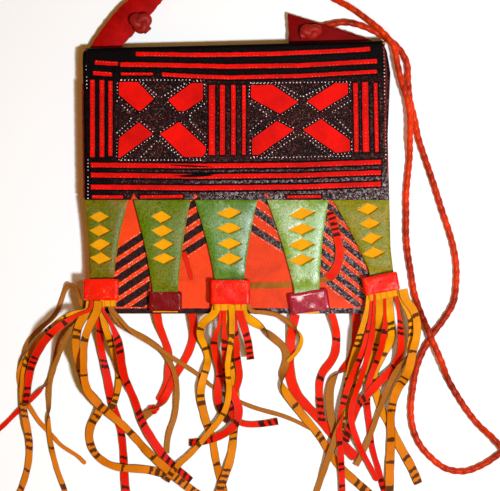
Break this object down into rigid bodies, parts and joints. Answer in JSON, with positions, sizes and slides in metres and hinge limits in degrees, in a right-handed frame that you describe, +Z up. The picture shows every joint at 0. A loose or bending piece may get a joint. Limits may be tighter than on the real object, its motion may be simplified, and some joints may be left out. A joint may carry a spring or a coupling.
{
  "type": "fringed leather shoulder bag with a flap",
  "caption": "Flat leather pouch with a hinged flap cut into tongues, each through a leather band, with fringes of flat laces and a long braided strap.",
  "frame": {"origin": "centre of the bag's flat back, which lies on the surface", "axes": "+Z up out of the front of the bag, +Y towards its top edge and strap, +X to its right as seen from the front"},
  "size_m": [0.3627, 0.3544, 0.0252],
  "materials": {
    "black_leather": "painted black over red, worn and pricked with a pointed tool",
    "red_leather": "dyed red, satin",
    "green_leather": "dyed green, glazed",
    "maroon_leather": "dyed dark red, glazed",
    "bright_red_leather": "dyed bright red, glazed",
    "yellow_leather": "dyed orange yellow, satin"
  },
  "bodies": {
    "pouch": {"back_panel": "black_leather", "gusset": "red_leather", "front_panel": "red_leather", "strap_ear_left": "maroon_leather", "strap_ear_right": "maroon_leather", "strap_knot_left": "bright_red_leather", "strap_knot_right": "bright_red_leather", "strap": "bright_red_leather", "lace_seam_1": "bright_red_leather", "lace_seam_2": "bright_red_leather", "lace_seam_3": "bright_red_leather", "lace_seam_4": "bright_red_leather", "lace_seam_5": "bright_red_leather"},
    "flap": {"flap": "black_leather", "tongue_facing_1": "green_leather", "tongue_facing_2": "green_leather", "tongue_facing_3": "green_leather", "tongue_facing_4": "green_leather", "tongue_facing_5": "green_leather", "band_1": "bright_red_leather", "band_2": "maroon_leather", "band_3": "bright_red_leather", "band_4": "maroon_leather", "band_5": "bright_red_leather", "fringe_head_left": "yellow_leather", "fringe_head_middle": "yellow_leather", "fringe_head_right": "yellow_leather", "lace_left_1": "yellow_leather", "lace_left_10": "yellow_leather", "lace_left_11": "yellow_leather", "lace_left_12": "yellow_leather", "lace_left_2": "yellow_leather", "lace_left_3": "yellow_leather", "lace_left_4": "yellow_leather", "lace_left_5": "yellow_leather", "lace_left_6": "yellow_leather", "lace_left_7": "yellow_leather", "lace_left_8": "yellow_leather", "lace_left_9": "yellow_leather", "lace_middle_1": "yellow_leather", "lace_middle_2": "yellow_leather", "lace_middle_3": "yellow_leather", "lace_middle_4": "yellow_leather", "lace_middle_5": "yellow_leather", "lace_middle_6": "yellow_leather", "lace_middle_7": "yellow_leather", "lace_middle_8": "yellow_leather", "lace_middle_9": "yellow_leather", "lace_right_1": "yellow_leather", "lace_right_10": "yellow_leather", "lace_right_2": "yellow_leather", "lace_right_3": "yellow_leather", "lace_right_4": "yellow_leather", "lace_right_5": "yellow_leather", "lace_right_6": "yellow_leather", "lace_right_7": "yellow_leather", "lace_right_8": "yellow_leather", "lace_right_9": "yellow_leather"}
  },
  "joints": [
    {"name": "flap_hinge", "type": "hinge", "parent": "pouch", "child": "flap", "pos_m": [-0.0021, 0.08655, 0.013], "axis": [-0.9997, -0.0249, 0], "range_deg": [0, 165]}
  ]
}
